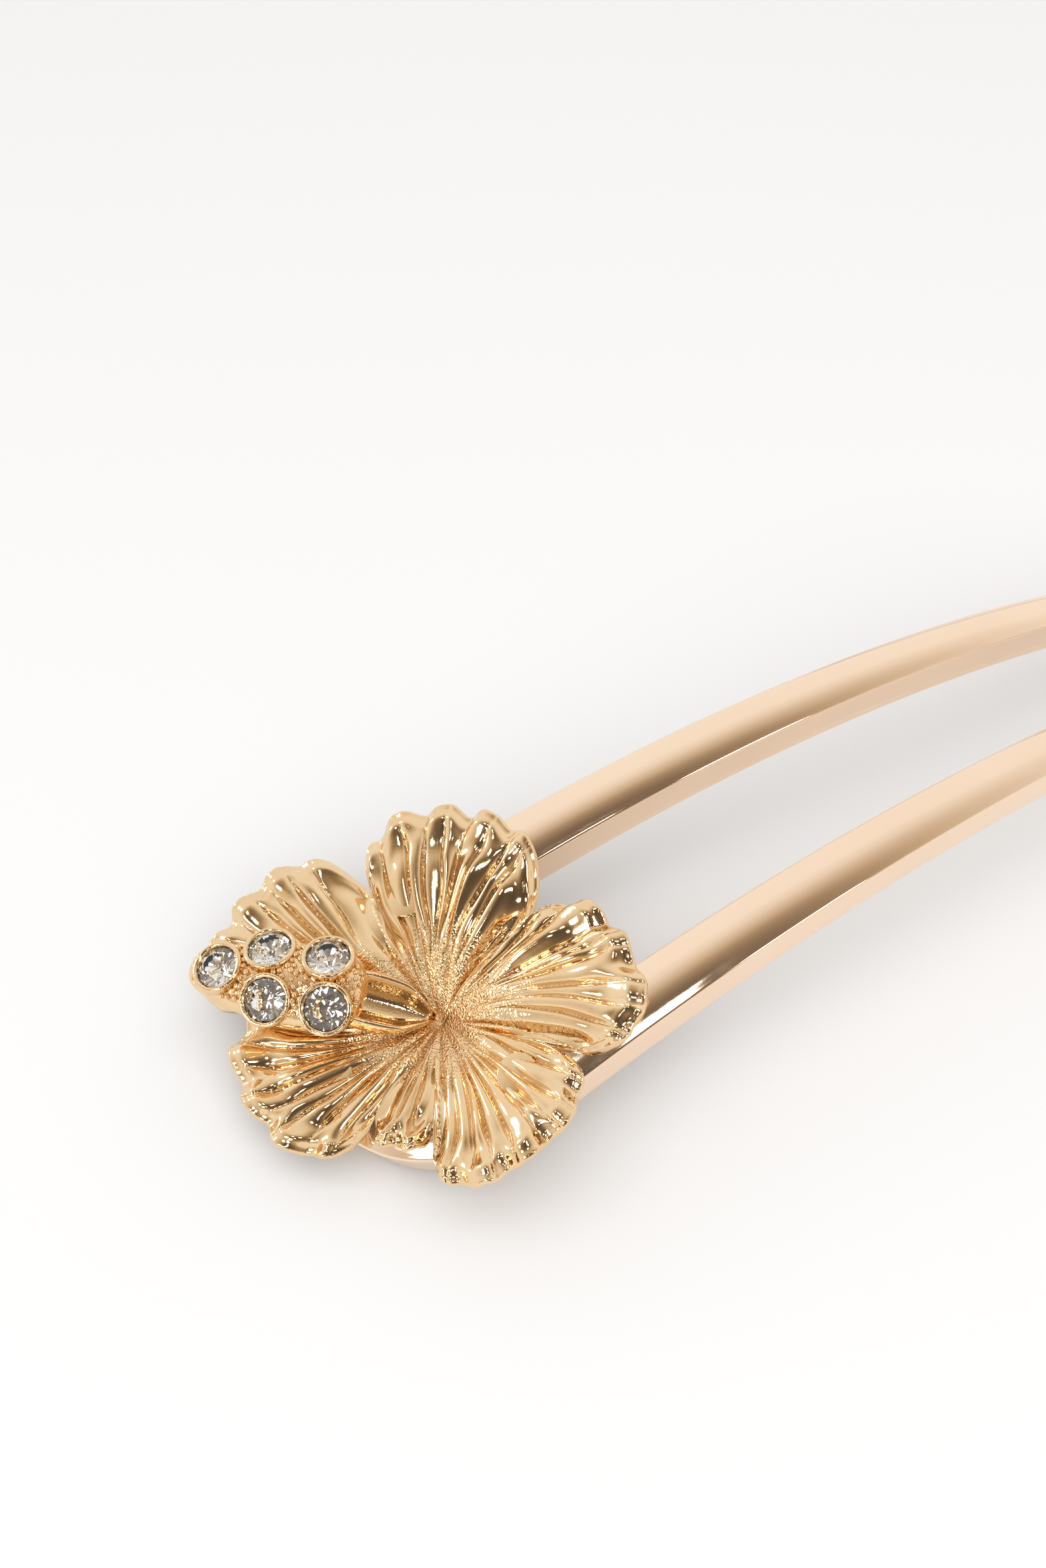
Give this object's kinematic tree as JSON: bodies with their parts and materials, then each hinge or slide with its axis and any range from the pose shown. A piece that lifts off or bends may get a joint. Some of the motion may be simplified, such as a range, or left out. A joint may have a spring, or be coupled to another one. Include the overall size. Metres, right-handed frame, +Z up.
{
  "type": "decorative hair pin",
  "caption": "Arched two-prong hair pin in gold-plated metal with a cast hibiscus flower on its bow and small round stones on the flower's pistil.",
  "frame": {"origin": "centre of the pin's footprint, on the surface it lies on", "axes": "+X from the bow to the prong tips, +Y to the pin's left seen from the bow, +Z up, out of the flower's face"},
  "size_m": [0.105, 0.0304, 0.0142],
  "materials": {
    "fork_plating": "mirror-polished champagne gold plating",
    "flower_plating": "cast relief with bright gold plating, grainy near the flower's centre",
    "solder": "plated over, slightly rough",
    "stone_glass": "clear cut glass with a mirror-foiled back",
    "stone_cement": "cured jewellery cement"
  },
  "bodies": {
    "root": {"fork": "fork_plating", "flower": "flower_plating", "pistil": "flower_plating", "solder_bow": "solder", "solder_far_prong": "solder", "solder_near_prong": "solder", "tip_stone": "stone_glass", "upper_middle_stone": "stone_glass", "upper_rear_stone": "stone_glass", "lower_middle_stone": "stone_glass", "lower_rear_stone": "stone_glass", "tip_cement": "stone_cement", "upper_middle_cement": "stone_cement", "upper_rear_cement": "stone_cement", "lower_middle_cement": "stone_cement", "lower_rear_cement": "stone_cement"}
  },
  "joints": []
}
